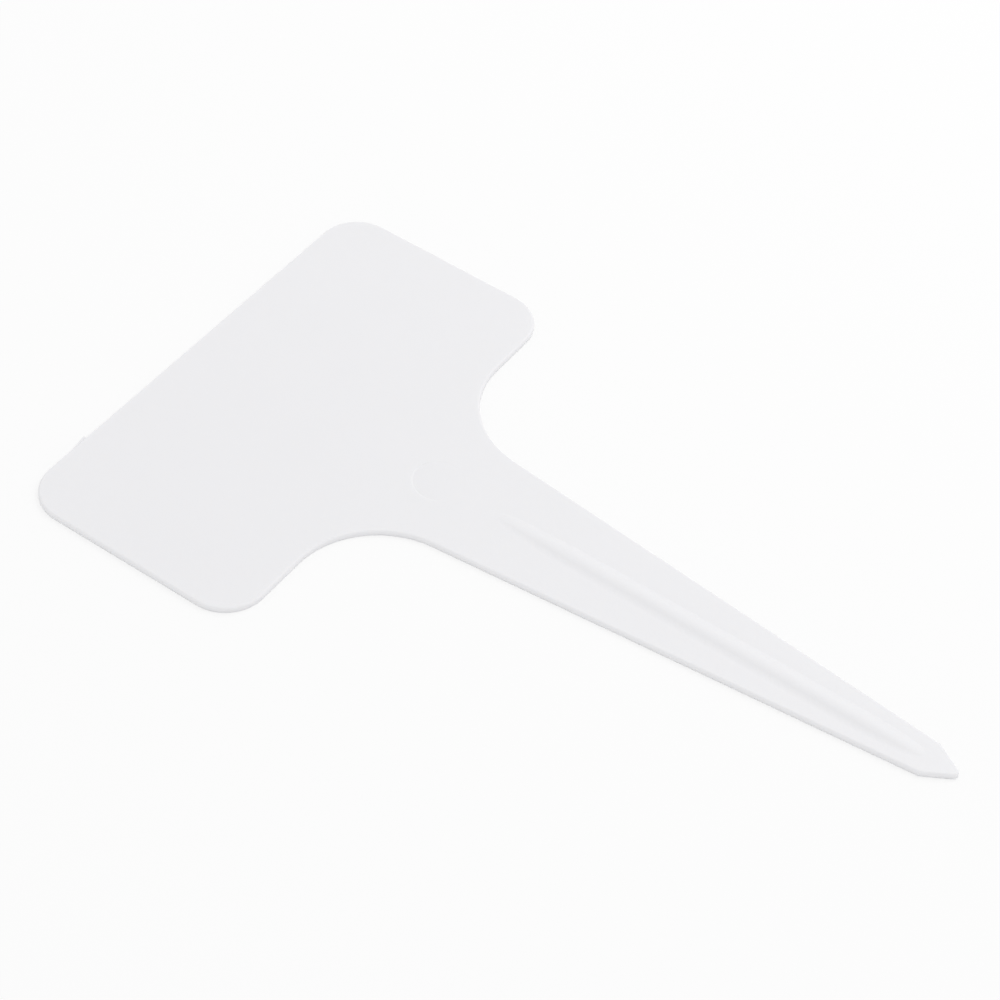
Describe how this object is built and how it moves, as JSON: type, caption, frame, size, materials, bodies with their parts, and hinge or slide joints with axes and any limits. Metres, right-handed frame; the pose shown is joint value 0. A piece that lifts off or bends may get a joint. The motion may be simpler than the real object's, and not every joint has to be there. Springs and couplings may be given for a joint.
{
  "type": "plant label stake",
  "caption": "T-shaped garden tag: a rounded writing plate on a flat tapering stake with a stiffening rib and a pointed tip to push into soil.",
  "frame": {"origin": "on the flat back, half way along the tag's bounding box and on its middle line", "axes": "+Z out of the writing face, with the tag lying on its back; -Y along the stake to the tip, so +Y runs towards the plate's outer edge; +X to the right of the writing face with the tip pointing down"},
  "size_m": [0.06, 0.1005, 0.001],
  "materials": {
    "white_plastic": "opaque white polypropylene, smooth satin as moulded"
  },
  "bodies": {
    "root": {"label_stake": "white_plastic"}
  },
  "joints": []
}
